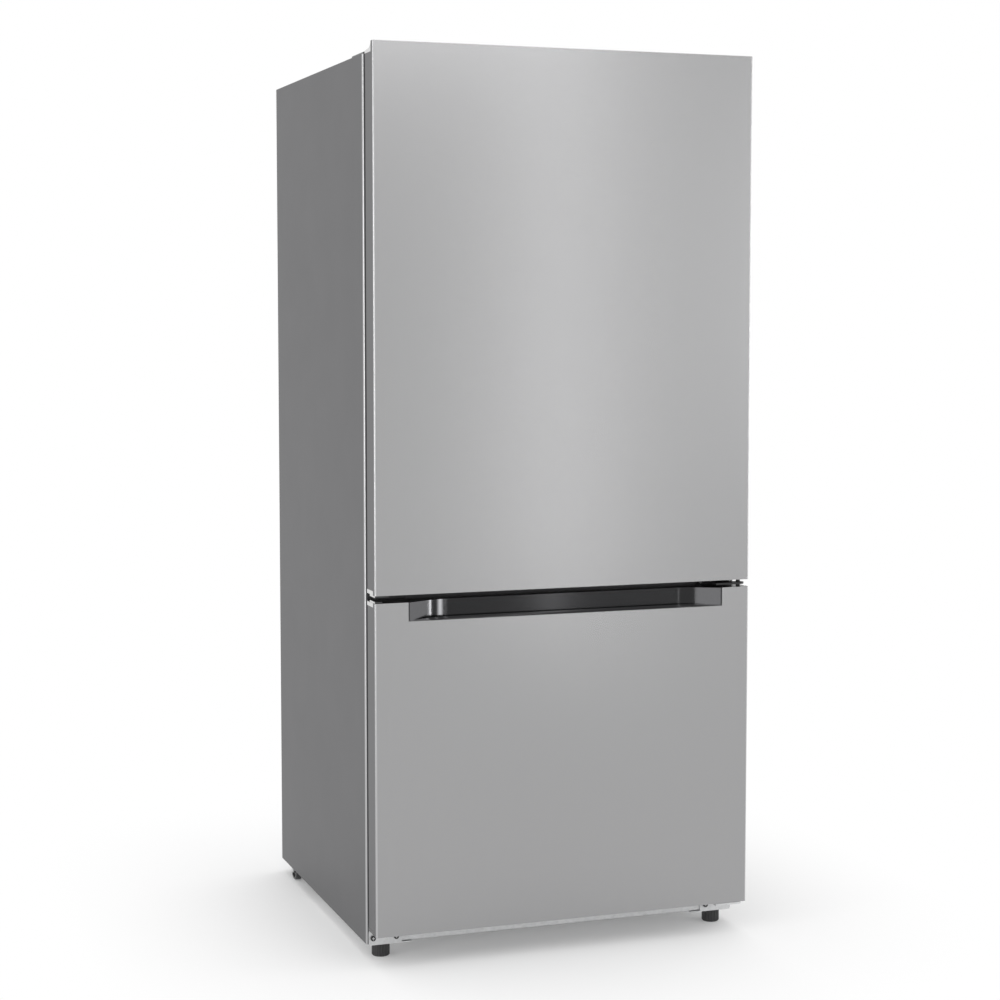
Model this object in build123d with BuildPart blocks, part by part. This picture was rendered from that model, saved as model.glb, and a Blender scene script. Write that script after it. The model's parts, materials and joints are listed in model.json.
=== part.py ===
from build123d import *
import os

# A free-standing refrigerator with the fresh-food compartment above and the freezer below.
# Both doors hang on the right. The frame is +Z up from the floor, +X to the viewer's right
# and -Y towards the viewer, with the origin under the middle of the whole body. Millimetres.

os.makedirs("parts", exist_ok=True)

# ---------------------------------------------------------------- driving dimensions
width = 750.0                 # over the doors and over the side panels
depth = 760.0                 # from the door fronts to the tips of the wall spacers
cabinet_depth = 671.0         # side panels, front flange to rear flange
door_thickness = 51.0
seal_gap = 16.0               # from a door's back to the cabinet's front, filled by the gasket
cabinet_bottom, cabinet_top = 28.5, 1673.0
freezer_door_bottom, freezer_door_top = 59.0, 678.0
fridge_door_bottom, fridge_door_top = 692.0, 1690.0

sheet = 1.2                   # case steel
skin = 1.0                    # door skin steel
liner_wall = 2.0              # vacuum-formed liners
clear = 0.1                   # between pieces that lie against each other
case_bend = 4.5               # bend radius at the case's front corners
skin_bend = 3.0               # bend radius at the door skins' corners
side_flange, top_flange = 18.0, 24.0         # front flanges of the side and top panels

hinge_inset_x, hinge_inset_y = 15.0, 16.0    # hinge pins from the door's side and front
pin_radius, bush_radius = 4.0, 4.06
screw_radius = 2.6

pocket_left_margin, pocket_right_margin = 64.0, 56.0    # handle pocket from the door's sides
pocket_height, pocket_depth = 35.0, 30.0
pocket_ramp = 61.5            # length over which each end of the pocket runs down to full depth
pocket_corner = 100.0         # radius where an end ramp turns into the back wall
pocket_cove = 14.0            # radius where the back wall turns into the floor
pocket_lip = 12.0             # height of the lip that fingers hook behind

fridge_half, freezer_half = 325.0, 305.0     # half widths of the two cavities
fridge_floor, fridge_ceiling, fridge_rear = 724.0, 1618.0, 290.0
freezer_floor, freezer_ceiling, freezer_rear = 85.0, 640.0, 240.0
freezer_step_z, freezer_step_y = 290.0, 80.0 # the freezer's floor rises over the machine room
machine_top, machine_front = 240.0, 120.0
rail_bottom, rail_top = 650.0, 720.0         # steel rail between the two openings
kick_top = 83.0               # top of the bottom panel's front flange

foot_radius, foot_height, foot_inset_x, foot_inset_y = 17.0, 26.5, 34.0, 22.0
stud_radius = 5.0
roller_radius, roller_inset, roller_from_back = 22.0, 7.0, 80.0
axle_radius = 4.0

# ---------------------------------------------------------------- worked out from them
right = width / 2
door_front = -depth / 2
door_back = door_front + door_thickness
cabinet_front = door_back + seal_gap
cabinet_back = cabinet_front + cabinet_depth
hinge_x, hinge_y = right - hinge_inset_x, door_front + hinge_inset_y
flange_edge = right - side_flange
case_inside = right - sheet - clear
skin_inside = right - skin - clear
foot_y = cabinet_front + foot_inset_y
foot_x = right - foot_inset_x
roller_y = cabinet_back - roller_from_back
tray_bottom = 16.0
tray_half = 345.0
bracket_inner, bracket_outer = right - 68, right - 4     # foot brackets
bracket_foot = 20.0           # how much further in the bracket's foot plate runs
top_plate = 3.0
roof_screws = [
    (x, y) for x in (hinge_x - 48, hinge_x - 22) for y in (cabinet_front + 20, cabinet_front + 62)
]
front_screws = [(hinge_x - 58, 682.0), (hinge_x + 3, 682.0)] + [
    (side * x, 40.0) for side in (-1, 1) for x in (bracket_inner + 11, bracket_outer - 8)
]


# ---------------------------------------------------------------- helpers
def box(x0, x1, y0, y1, z0, z1, mode=Mode.ADD):
    """A block between two corners."""
    with Locations(((x0 + x1) / 2, (y0 + y1) / 2, (z0 + z1) / 2)):
        Box(x1 - x0, y1 - y0, z1 - z0, mode=mode)


def post(x, y, z0, z1, radius, mode=Mode.ADD):
    """A round bar along Z."""
    with Locations((x, y, (z0 + z1) / 2)):
        Cylinder(radius, z1 - z0, mode=mode)


def bar(x0, x1, y, z, radius, mode=Mode.ADD):
    """A round bar along X."""
    with Locations(((x0 + x1) / 2, y, z)):
        Cylinder(radius, x1 - x0, rotation=(0, 90, 0), mode=mode)


def dowel(x, y0, y1, z, radius, mode=Mode.ADD):
    """A round bar along Y."""
    with Locations((x, (y0 + y1) / 2, z)):
        Cylinder(radius, y1 - y0, rotation=(90, 0, 0), mode=mode)


def bent_sheet(points, thickness, radius, side):
    """The section of a sheet bent along a line of points and thickened to one side of it."""
    with BuildSketch() as section:
        with BuildLine():
            FilletPolyline(*points, radius=radius)
            offset(amount=thickness, side=side)
        make_face()
    return section.sketch


def tube(points, radius, bend):
    """A round tube bent along a line of points."""
    with BuildPart() as pipe:
        with BuildLine() as path:
            FilletPolyline(*points, radius=bend)
        with BuildSketch(Plane(origin=path.line @ 0, z_dir=path.line % 0)):
            Circle(radius)
        sweep()
    return pipe.part


def screw_holes():
    """Clearance holes for every hinge and bracket screw."""
    for x, y in roof_screws:
        post(x, y, cabinet_top - 9, cabinet_top + 5, screw_radius + 0.3, Mode.SUBTRACT)
    for x, z in front_screws:
        dowel(x, cabinet_front - 6, cabinet_front + 9, z, screw_radius + 0.3, Mode.SUBTRACT)


def fridge_cavity(grow, mode=Mode.ADD):
    """The fresh-food space, grown on every closed side."""
    with BuildSketch(Plane.XZ.offset(-(fridge_rear + grow))) as mouth:
        with Locations((0, (fridge_floor + fridge_ceiling) / 2)):
            RectangleRounded(
                2 * (fridge_half + grow), fridge_ceiling - fridge_floor + 2 * grow, 18 + grow
            )
    extrude(mouth.sketch, amount=fridge_rear + grow - cabinet_front, mode=mode)


def freezer_cavity(grow, mode=Mode.ADD):
    """The freezer space with its stepped floor, grown on every closed side."""
    with BuildSketch(Plane.YZ.offset(-(freezer_half + grow))) as section:
        with BuildLine():
            Polyline(
                (cabinet_front, freezer_floor - grow),
                (freezer_step_y + grow, freezer_floor - grow),
                (freezer_step_y + grow, freezer_step_z - grow),
                (freezer_rear + grow, freezer_step_z - grow),
                (freezer_rear + grow, freezer_ceiling + grow),
                (cabinet_front, freezer_ceiling + grow),
                close=True,
            )
        make_face()
    extrude(section.sketch, amount=2 * (freezer_half + grow), mode=mode)


def write(builder, name):
    builder.part.label = name
    export_step(builder.part, f"parts/{name}.step")


# ================================================================ cabinet case
with BuildPart() as side_panel_right:
    with BuildSketch(Plane.XY.offset(cabinet_bottom)):
        outline = [
            (right - 15, cabinet_back),
            (right, cabinet_back),
            (right, cabinet_front),
            (flange_edge, cabinet_front),
        ]
        add(bent_sheet(outline, sheet, case_bend, Side.RIGHT))
    extrude(amount=cabinet_top - cabinet_bottom)
    screw_holes()
write(side_panel_right, "side_panel_right")

with BuildPart() as side_panel_left:
    mirror(side_panel_right.part, about=Plane.YZ)
    screw_holes()
write(side_panel_left, "side_panel_left")

with BuildPart() as top_panel:
    with BuildSketch(Plane.XY.offset(cabinet_top - sheet)) as plate:
        plate_front = cabinet_front + sheet + clear
        with Locations((0, (plate_front + cabinet_back) / 2)):
            Rectangle(2 * case_inside, cabinet_back - plate_front)
        fillet(plate.vertices(), radius=case_bend + 2)
        with Locations((0, cabinet_front + 10)):
            Rectangle(2 * (flange_edge - clear), 20)
    extrude(amount=sheet)
    box(clear - flange_edge, flange_edge - clear, cabinet_front, cabinet_front + sheet,
        cabinet_top - top_flange, cabinet_top)
    back_notch = cabinet_back - sheet - clear
    box(-right, right, back_notch, cabinet_back + 1, cabinet_top - 2, cabinet_top + 1,
        mode=Mode.SUBTRACT)
    screw_holes()
write(top_panel, "top_panel")

back_sheet_rear = cabinet_back - sheet - clear
back_half = right - case_bend - 1
with BuildPart() as back_panel:
    box(-back_half, back_half, back_sheet_rear - sheet, back_sheet_rear,
        machine_top + sheet + clear, cabinet_top - sheet - clear)
    for rib_x in (-210, 0, 210):
        box(rib_x - 45, rib_x + 45, back_sheet_rear, back_sheet_rear + 3, 420, 1420)
    rib_edges = back_panel.edges().group_by(Axis.Y)[-1]
    chamfer(rib_edges, length=2)
write(back_panel, "back_panel")

with BuildPart() as bottom_panel:
    with BuildSketch(Plane.YZ.offset(-case_inside)):
        floor_line = [
            (cabinet_front + case_bend, cabinet_bottom),
            (machine_front, cabinet_bottom),
            (machine_front, machine_top),
            (back_sheet_rear, machine_top),
        ]
        add(bent_sheet(floor_line, sheet, 3, Side.LEFT))
    extrude(amount=2 * case_inside)
    with BuildSketch(Plane.YZ.offset(clear - flange_edge)):
        kick_line = [
            (cabinet_front, kick_top),
            (cabinet_front, cabinet_bottom),
            (cabinet_front + 2 * case_bend, cabinet_bottom),
        ]
        add(bent_sheet(kick_line, sheet, 2, Side.LEFT))
    extrude(amount=2 * (flange_edge - clear))
    chamfer(bottom_panel.edges().filter_by(Axis.Z).group_by(Axis.Y)[-1], length=6)
    for x in (-foot_x, foot_x):
        post(x, foot_y, cabinet_bottom - 1, cabinet_bottom + 3, stud_radius + 2, Mode.SUBTRACT)
    screw_holes()
write(bottom_panel, "bottom_panel")

with BuildPart() as centre_rail:
    with BuildSketch(Plane.YZ.offset(clear - flange_edge)):
        rail_line = [
            (cabinet_front + 8, rail_top),
            (cabinet_front, rail_top),
            (cabinet_front, rail_bottom),
            (cabinet_front + 8, rail_bottom),
        ]
        add(bent_sheet(rail_line, sheet, 1.5, Side.LEFT))
    extrude(amount=2 * (flange_edge - clear))
    screw_holes()
write(centre_rail, "centre_rail")

# ================================================================ liners and insulation
shelf_levels = (1400.0, 1180.0, 955.0)       # tops of two shelves and of the crisper cover
spare_levels = (1290.0, 1500.0)              # ledges with no shelf on them
freezer_shelf_level = 500.0
ledge_depth = 13.0
shelf_front, shelf_rear = -178.0, 256.0
shelf_half = 318.0
trim_drop, trim_rise = 6.0, 8.0              # trim below and above its shelf level
guide_top = 745.0                            # crispers run on guides on the floor
drawer_front = -225.0
upper_drawer_bottom, upper_drawer_top = 320.0, 480.0
lower_drawer_bottom, lower_drawer_top = 100.0, 282.0
drawer_rim = 6.0

with BuildPart() as fridge_liner:
    fridge_cavity(liner_wall)
    box(clear - flange_edge, flange_edge - clear, cabinet_front, cabinet_front + liner_wall,
        rail_top + clear, cabinet_top - top_flange - clear)
    fridge_cavity(0, Mode.SUBTRACT)
    for level in shelf_levels + spare_levels:
        for side in (-1, 1):
            x0, x1 = sorted((side * fridge_half, side * (fridge_half - ledge_depth)))
            box(x0, x1, -150, 250, level - trim_drop - 10, level - trim_drop - clear)
    for x0, x1 in ((-307, -290), (-14, 14), (290, 307)):
        box(x0, x1, -150, 200, fridge_floor, guide_top - 0.4)
write(fridge_liner, "fridge_liner")

with BuildPart() as freezer_liner:
    freezer_cavity(liner_wall)
    box(clear - flange_edge, flange_edge - clear, cabinet_front, cabinet_front + liner_wall,
        kick_top + clear, rail_bottom - clear)
    freezer_cavity(0, Mode.SUBTRACT)
    ledges = (
        (upper_drawer_top - drawer_rim, 130),
        (lower_drawer_top - drawer_rim, 70),
        (freezer_shelf_level - trim_drop, 130),
    )
    for ledge_top, ledge_rear in ledges:
        for side in (-1, 1):
            x0, x1 = sorted((side * freezer_half, side * (freezer_half - 15)))
            box(x0, x1, drawer_front + 10, ledge_rear, ledge_top - 10, ledge_top - 0.4)
write(freezer_liner, "freezer_liner")

with BuildPart() as insulation_foam:
    foam_front = cabinet_front + liner_wall + clear
    box(-case_inside + clear, case_inside - clear, foam_front, back_sheet_rear - sheet - clear,
        cabinet_bottom + sheet + clear, cabinet_top - sheet - clear)
    fillet(insulation_foam.edges().filter_by(Axis.Z), radius=case_bend)
    box(-right, right, machine_front - sheet - 2, cabinet_back, 0, machine_top + sheet + clear,
        Mode.SUBTRACT)
    fridge_cavity(liner_wall + clear, Mode.SUBTRACT)
    freezer_cavity(liner_wall + clear, Mode.SUBTRACT)
    for z0 in (rail_bottom - 2, rail_top - 3):
        box(-right, right, cabinet_front, cabinet_front + 10, z0, z0 + 5, Mode.SUBTRACT)
    for x in (-foot_x, foot_x):
        post(x, foot_y, 0, cabinet_bottom + 27, stud_radius + 3, Mode.SUBTRACT)
    screw_holes()
write(insulation_foam, "insulation_foam")

# ================================================================ hinges and their brackets
def hinge_plate(z0, z1, arm_half, mode=Mode.ADD):
    """A plate round the pin, with an arm to the left of the pin that runs back to the cabinet."""
    with BuildSketch(Plane.XY.offset(z0)) as plate:
        with Locations((hinge_x, hinge_y)):
            Circle(11)
        with Locations((hinge_x - 20, hinge_y)):
            Rectangle(40, 22)
        arm_left = hinge_x - 11 - arm_half
        arm_back = cabinet_front
        with Locations(((arm_left + hinge_x - 11) / 2, (hinge_y - 11 + arm_back) / 2)):
            Rectangle(arm_half, arm_back - hinge_y + 11)
    extrude(plate.sketch, amount=z1 - z0, mode=mode)


with BuildPart() as top_hinge:
    hinge_plate(cabinet_top + clear, cabinet_top + top_plate, 48)
    box(hinge_x - 59, hinge_x - 11, cabinet_front, cabinet_front + 80,
        cabinet_top + clear, cabinet_top + top_plate)
    post(hinge_x, hinge_y, cabinet_top - 14, cabinet_top + top_plate, pin_radius)
    screw_holes()
write(top_hinge, "top_hinge")

middle_plate_bottom, middle_plate_top = 682.5, 686.0
with BuildPart() as middle_hinge:
    hinge_plate(middle_plate_bottom, middle_plate_top, 40)
    box(hinge_x - 66, hinge_x + 10, cabinet_front - 3, cabinet_front - clear, 674, 698)
    box(hinge_x - 51, hinge_x - 11, cabinet_front - 12, cabinet_front - 2,
        middle_plate_bottom, middle_plate_top)
    post(hinge_x, hinge_y, middle_plate_bottom - 18, middle_plate_top + 20, pin_radius)
    screw_holes()
write(middle_hinge, "middle_hinge")

bottom_plate_bottom, bottom_plate_top = 53.0, 57.0
bracket_bottom = cabinet_bottom - 2


def foot_bracket(side):
    """The upright and the foot plate of a bottom bracket, on one side of the body."""
    x0, x1 = sorted((side * bracket_inner, side * bracket_outer))
    plate_x0, plate_x1 = sorted((side * (bracket_inner - bracket_foot), side * bracket_outer))
    with BuildSketch(Plane.XZ.offset(-(cabinet_front - clear))) as upright:
        with Locations(((x0 + x1) / 2, (bracket_bottom + bottom_plate_top) / 2)):
            RectangleRounded(x1 - x0, bottom_plate_top - bracket_bottom, 7)
    extrude(upright.sketch, amount=3 - clear)
    box(plate_x0, plate_x1, cabinet_front - 3, foot_y + 24, bracket_bottom, cabinet_bottom - clear)
    box(x0, x1, cabinet_front - 3, cabinet_front - clear, bracket_bottom, cabinet_bottom + 10)
    post(side * foot_x, foot_y, 0, cabinet_bottom + 2, stud_radius + 0.06, Mode.SUBTRACT)
    screw_holes()


with BuildPart() as bottom_hinge:
    foot_bracket(1)
    hinge_plate(bottom_plate_bottom, bottom_plate_top, 36)
    post(hinge_x, hinge_y, bottom_plate_bottom, bottom_plate_top + 14, pin_radius)
write(bottom_hinge, "bottom_hinge")

with BuildPart() as bottom_bracket_left:
    foot_bracket(-1)
write(bottom_bracket_left, "bottom_bracket_left")

with BuildPart() as hinge_screws:
    for x, y in roof_screws:
        post(x, y, cabinet_top + top_plate, cabinet_top + top_plate + 3.5, 5)
        post(x, y, cabinet_top + top_plate - 7, cabinet_top + top_plate, screw_radius)
    for x, z in front_screws:
        dowel(x, cabinet_front - 6, cabinet_front - 3, z, 5)
        dowel(x, cabinet_front - 3, cabinet_front + 4, z, screw_radius)
write(hinge_screws, "hinge_screws")

with BuildPart() as top_hinge_cover:
    cover_front, cover_rear, cover_top = cabinet_front + 2, cabinet_front + 92, cabinet_top + 16
    box(hinge_x - 72, right - 4, cover_front, cover_rear, cabinet_top + clear, cover_top)
    fillet(top_hinge_cover.edges().filter_by(Axis.Z), radius=9)
    fillet(top_hinge_cover.edges().group_by(Axis.Z)[-1], radius=4)
    box(hinge_x - 70, right - 6, cover_front + 2, cover_rear - 2, cabinet_top, cover_top - 2,
        Mode.SUBTRACT)
    box(hinge_x - 61, hinge_x - 9, cover_front - 3, cover_front + 3,
        cabinet_top, cabinet_top + 4, Mode.SUBTRACT)
write(top_hinge_cover, "top_hinge_cover")

with BuildPart() as hinge_hole_covers:
    box(-(right - 4), -(hinge_x - 72), cover_front, cover_rear, cabinet_top + clear, cabinet_top + 5)
    fillet(hinge_hole_covers.edges().filter_by(Axis.Z), radius=9)
    fillet(hinge_hole_covers.edges().group_by(Axis.Z)[-1], radius=2)
    with BuildSketch(Plane.XZ.offset(-(cabinet_front - clear))):
        with Locations((-(hinge_x - 26), 685)):
            RectangleRounded(72, 22, 6)
    extrude(amount=4)
write(hinge_hole_covers, "hinge_hole_covers")

# ================================================================ feet and rollers
foot_ribs = 20
with BuildPart() as foot_right:
    post(foot_x, foot_y, 0, foot_height - 2, foot_radius)
    chamfer(foot_right.edges().group_by(Axis.Z)[0], length=2)
    with Locations((foot_x, foot_y, foot_height / 2)):
        with PolarLocations(foot_radius, foot_ribs):
            Cylinder(1.7, foot_height, mode=Mode.SUBTRACT)
    post(foot_x, foot_y, foot_height - 2, foot_height - 0.5, 9)
    post(foot_x, foot_y, foot_height - 1, cabinet_bottom + 20, stud_radius)
write(foot_right, "foot_right")

with BuildPart() as foot_left:
    mirror(foot_right.part, about=Plane.YZ)
write(foot_left, "foot_left")

roller_outer = right - roller_inset
with BuildPart() as roller_right:
    bar(roller_outer - 14, roller_outer, roller_y, roller_radius, roller_radius)
    chamfer(roller_right.edges().filter_by(GeomType.CIRCLE), length=1.5)
    for x in (roller_outer - 14, roller_outer - 3):
        bar(x, x + 3, roller_y, roller_radius, 17, Mode.SUBTRACT)
    bar(roller_outer - 15, roller_outer, roller_y, roller_radius, 8)
    bar(roller_outer - 16, roller_outer + 1, roller_y, roller_radius, axle_radius + 0.06,
        Mode.SUBTRACT)
write(roller_right, "roller_right")

with BuildPart() as roller_left:
    mirror(roller_right.part, about=Plane.YZ)
write(roller_left, "roller_left")

with BuildPart() as roller_axles:
    for side in (-1, 1):
        x0, x1 = sorted((side * (tray_half - 4), side * (roller_outer + 1)))
        bar(x0, x1, roller_y, roller_radius, axle_radius)
        x0, x1 = sorted((side * (roller_outer + 0.6), side * (roller_outer + 3)))
        bar(x0, x1, roller_y, roller_radius, 7)
        x0, x1 = sorted((side * (tray_half + clear), side * (tray_half + 5)))
        bar(x0, x1, roller_y, roller_radius, 7)
write(roller_axles, "roller_axles")

# ================================================================ machine room
compressor_x, compressor_y = -170.0, 242.0
mount_x, mount_y = 85.0, 55.0
tray_front, tray_rear = machine_front + 4, 350.0
with BuildPart() as compressor_tray:
    with BuildSketch(Plane.XZ.offset(-tray_rear)):
        tray_line = [
            (-tray_half, 62),
            (-tray_half, tray_bottom),
            (tray_half, tray_bottom),
            (tray_half, 62),
        ]
        add(bent_sheet(tray_line, 1.5, 3, Side.LEFT))
    extrude(amount=tray_rear - tray_front)
    for side in (-1, 1):
        x0, x1 = sorted((side * (tray_half - 5), side * (tray_half + 5)))
        bar(x0, x1, roller_y, roller_radius, axle_radius + 0.05, Mode.SUBTRACT)
    for rib_y in (170, 318):
        box(-tray_half + 20, tray_half - 20, rib_y - 6, rib_y + 6, tray_bottom - 4, tray_bottom + 1)
write(compressor_tray, "compressor_tray")

grommet_top = 29.0
with BuildPart() as compressor_grommets:
    with Locations((compressor_x, compressor_y, 0)):
        with GridLocations(2 * mount_x, 2 * mount_y, 2, 2):
            with Locations((0, 0, (tray_bottom + 1.5 + grommet_top) / 2)):
                Cylinder(11, grommet_top - tray_bottom - 1.7)
write(compressor_grommets, "compressor_grommets")

with BuildPart() as compressor:
    post(compressor_x, compressor_y, 34, 182, 74)
    fillet(compressor.edges().filter_by(GeomType.CIRCLE), radius=30)
    box(compressor_x - mount_x - 14, compressor_x + mount_x + 14, compressor_y - mount_y - 14,
        compressor_y + mount_y + 14, grommet_top, grommet_top + 3)
    post(compressor_x, compressor_y, grommet_top, 60, 50)
    post(compressor_x, compressor_y, 100, 106, 76)
    bar(compressor_x + 60, compressor_x + 96, compressor_y - 25, 130, 4)
    bar(compressor_x + 60, compressor_x + 90, compressor_y + 20, 90, 3)
    box(compressor_x - 92, compressor_x - 60, compressor_y - 28, compressor_y + 28, 80, 130)
write(compressor, "compressor")

coil_x0, coil_x1, coil_y = 150.0, 318.0, 300.0
run_spacing, runs = 16.0, 8
with BuildPart() as condenser_coil:
    coil_points = [
        (compressor_x + 90.2, compressor_y + 20, 90),
        (compressor_x + 125, compressor_y + 20, 90),
        (compressor_x + 125, coil_y, 60),
        (coil_x1, coil_y, 60),
    ]
    for run in range(1, runs):
        z = 60 + run * run_spacing
        near, far = (coil_x1, coil_x0) if run % 2 else (coil_x0, coil_x1)
        coil_points += [(near, coil_y, z), (far, coil_y, z)]
    add(tube(coil_points, 2.4, 7))
    for wire in range(9):
        x = coil_x0 + 14 + wire * 17.5
        for y in (coil_y - 3, coil_y + 3):
            post(x, y, 54, 60 + (runs - 1) * run_spacing + 6, 0.9)
write(condenser_coil, "condenser_coil")

fan_x, fan_y, fan_z = 60.0, 236.0, 100.0


def fan_blades(hub_radius, tip_radius, width_along, blades):
    """Flat pitched blades round the Z axis, with their hub."""
    Cylinder(hub_radius, width_along)
    blade_length = tip_radius - hub_radius + 3
    with PolarLocations(hub_radius - 3 + blade_length / 2, blades):
        Box(blade_length, tip_radius * 0.62, 1.6, rotation=(28, 0, 0))


with BuildPart() as condenser_fan:
    with Locations(Location((fan_x, fan_y, fan_z), (0, 90, 0))):
        fan_blades(16, 62, 22, 5)
    bar(fan_x - 4, fan_x + 12, fan_y, fan_z, 2.05, Mode.SUBTRACT)
write(condenser_fan, "condenser_fan")

with BuildPart() as condenser_fan_motor:
    bar(fan_x + 26, fan_x + 60, fan_y, fan_z, 24)
    bar(fan_x - 3.5, fan_x + 27, fan_y, fan_z, 2)
    box(fan_x + 36, fan_x + 50, fan_y - 18, fan_y + 18, tray_bottom + 1.6, fan_z - 15)
    box(fan_x + 24, fan_x + 62, fan_y - 30, fan_y + 30, tray_bottom + 1.6, tray_bottom + 4)
write(condenser_fan_motor, "condenser_fan_motor")

with BuildPart() as drip_tray:
    tray_x0, tray_x1, tray_y0, tray_y1 = -90.0, 140.0, 140.0, 335.0
    box(tray_x0, tray_x1, tray_y0, tray_y1, 196, 226)
    box(tray_x0 + 2, tray_x1 - 2, tray_y0 + 2, tray_y1 - 2, 198, 227, Mode.SUBTRACT)
    for x in (tray_x0, tray_x1 - 8):
        box(x, x + 8, tray_y0 + 20, tray_y0 + 40, 190, 196)
write(drip_tray, "drip_tray")

cover_plate_rear = cabinet_back - sheet - clear
with BuildPart() as machine_cover:
    box(-back_half, back_half, cover_plate_rear - 1.5, cover_plate_rear,
        tray_bottom + 12, machine_top - 1)
    with Locations((0, cover_plate_rear, 140)):
        with GridLocations(22, 1, 18, 1):
            Box(8, 8, 90, mode=Mode.SUBTRACT)
    dowel(-300, cover_plate_rear - 5, cover_plate_rear + 5, 90, 14, Mode.SUBTRACT)
write(machine_cover, "machine_cover")

with BuildPart() as power_inlet:
    dowel(-300, cover_plate_rear - 14, cover_plate_rear + 5, 90, 13.8)
    dowel(-300, cover_plate_rear + clear, cover_plate_rear + 4, 90, 20)
    dowel(-300, cover_plate_rear - 15, cover_plate_rear + 6, 90, 4.5, Mode.SUBTRACT)
write(power_inlet, "power_inlet")

with BuildPart() as wall_spacers:
    for x in (-290, 290):
        box(x - 22, x + 22, back_sheet_rear + clear, depth / 2, 1520, 1564)
    chamfer(wall_spacers.edges().group_by(Axis.Y)[-1], length=7)
write(wall_spacers, "wall_spacers")

# ================================================================ cooling inside the freezer
duct_front, duct_rear = 150.0, 158.0
cold_fan_y, cold_fan_z = 176.0, 575.0
with BuildPart() as freezer_duct_cover:
    box(-freezer_half + 1, freezer_half - 1, duct_front, duct_rear, freezer_step_z + 1,
        freezer_ceiling - 1)
    for z in (545, 560, 575, 590, 605):
        box(-70, 70, duct_front - 1, duct_rear + 1, z - 4, z + 4, Mode.SUBTRACT)
    for z in (520, 400, 330):
        for x in (-200, 140):
            box(x, x + 60, duct_front - 1, duct_rear + 1, z - 5, z + 5, Mode.SUBTRACT)
    box(-8, 8, duct_front, duct_rear, 535, 615)
    dowel(0, duct_rear - 1, cold_fan_y + 4, cold_fan_z, 2)
write(freezer_duct_cover, "freezer_duct_cover")

with BuildPart() as evaporator_fan:
    with Locations(Location((0, cold_fan_y, cold_fan_z), (90, 0, 0))):
        fan_blades(15, 52, 20, 5)
    dowel(0, cold_fan_y - 11, cold_fan_y + 4.5, cold_fan_z, 2.05, Mode.SUBTRACT)
write(evaporator_fan, "evaporator_fan")

with BuildPart() as evaporator:
    coil_rows = (335, 365, 395, 425, 455, 485)
    for z in coil_rows:
        for y in (188, 212):
            bar(-240, 240, y, z, 4)
    for x in (-240, 232):
        box(x, x + 8, 176, 224, 322, 498)
    fin_count, fin_spacing = 17, 28.0
    for fin in range(fin_count):
        x = (fin - (fin_count - 1) / 2) * fin_spacing
        box(x - 0.6, x + 0.6, 176, 224, 322, 498)
write(evaporator, "evaporator")

# ================================================================ fittings of the fresh-food space
with BuildPart() as fridge_air_duct:
    duct_half = 105.0
    box(-duct_half, duct_half, 264, fridge_rear - clear, 760, 1600)
    fillet(fridge_air_duct.edges().filter_by(Axis.Z).group_by(Axis.Y)[0], radius=12)
    for z in (840, 1060, 1240, 1330, 1460, 1550):
        for x in (-75, 35):
            box(x, x + 40, 260, 276, z - 5, z + 5, Mode.SUBTRACT)
write(fridge_air_duct, "fridge_air_duct")

knob_x, knob_z = 62.0, 1596.0
control_front, control_back = -200.0, -110.0
with BuildPart() as control_box:
    box(-130, 130, control_front, control_back, 1576, fridge_ceiling - clear)
    fillet(control_box.edges().filter_by(Axis.Z), radius=8)
    fillet(control_box.edges().group_by(Axis.Z)[0], radius=4)
    box(-100, 20, control_front + 20, control_back - 15, 1570, 1584, Mode.SUBTRACT)
    dowel(knob_x, control_front - 9, control_front + 2, knob_z, 3)
write(control_box, "control_box")

with BuildPart() as light_cover:
    box(-99.8, 19.8, control_front + 20.2, control_back - 15.2, 1574, 1583.9)
    fillet(light_cover.edges().group_by(Axis.Z)[0], radius=3)
write(light_cover, "light_cover")

with BuildPart() as temperature_knob:
    dowel(knob_x, control_front - 13, control_front - 0.4, knob_z, 15)
    chamfer(temperature_knob.edges().group_by(Axis.Y)[0], length=1.5)
    box(knob_x - 2, knob_x + 2, control_front - 16, control_front - 12, knob_z - 13, knob_z + 13)
    dowel(knob_x, control_front - 9.5, control_front, knob_z, 3.06, Mode.SUBTRACT)
write(temperature_knob, "temperature_knob")


def framed_shelf(half, front, rear, level):
    """A shelf's moulded surround, rebated to take the glass."""
    box(-half, half, front, rear, level - trim_drop, level + trim_rise)
    box(-half + 28, half - 28, front + 20, rear - 20, level - 10, level + 10, Mode.SUBTRACT)
    box(-half + 15, half - 15, front + 12, rear - 12, level + 2, level + 10, Mode.SUBTRACT)


with BuildPart() as shelf_trims:
    for level in shelf_levels:
        with BuildPart() as surround:
            framed_shelf(shelf_half, shelf_front, shelf_rear, level)
            lip = surround.edges().filter_by(Axis.X).group_by(Axis.Y)[0]
            fillet(lip, radius=4)
        add(surround.part)
    with BuildPart() as freezer_surround:
        framed_shelf(freezer_half - 4, drawer_front + 10, duct_front - 8, freezer_shelf_level)
    add(freezer_surround.part)
write(shelf_trims, "shelf_trims")

with BuildPart() as glass_shelves:
    for level in shelf_levels:
        box(-shelf_half + 15.2, shelf_half - 15.2, shelf_front + 12.2, shelf_rear - 12.2,
            level + 2.1, level + 6)
    box(-freezer_half + 19.2, freezer_half - 19.2, drawer_front + 22.2, duct_front - 20.2,
        freezer_shelf_level + 2.1, freezer_shelf_level + 6)
write(glass_shelves, "glass_shelves")


# ================================================================ drawers
def open_box(x0, x1, y0, y1, z0, z1, wall, floor_radius):
    """A box with no lid and rounded edges, inside and out."""
    with BuildPart() as shell:
        box(x0, x1, y0, y1, z0, z1)
        fillet(shell.edges().filter_by(Axis.Z), radius=floor_radius)
        fillet(shell.edges().group_by(Axis.Z)[0], radius=floor_radius - 1)
        offset(amount=-wall, openings=shell.faces().sort_by(Axis.Z)[-1])
    return shell.part


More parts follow.
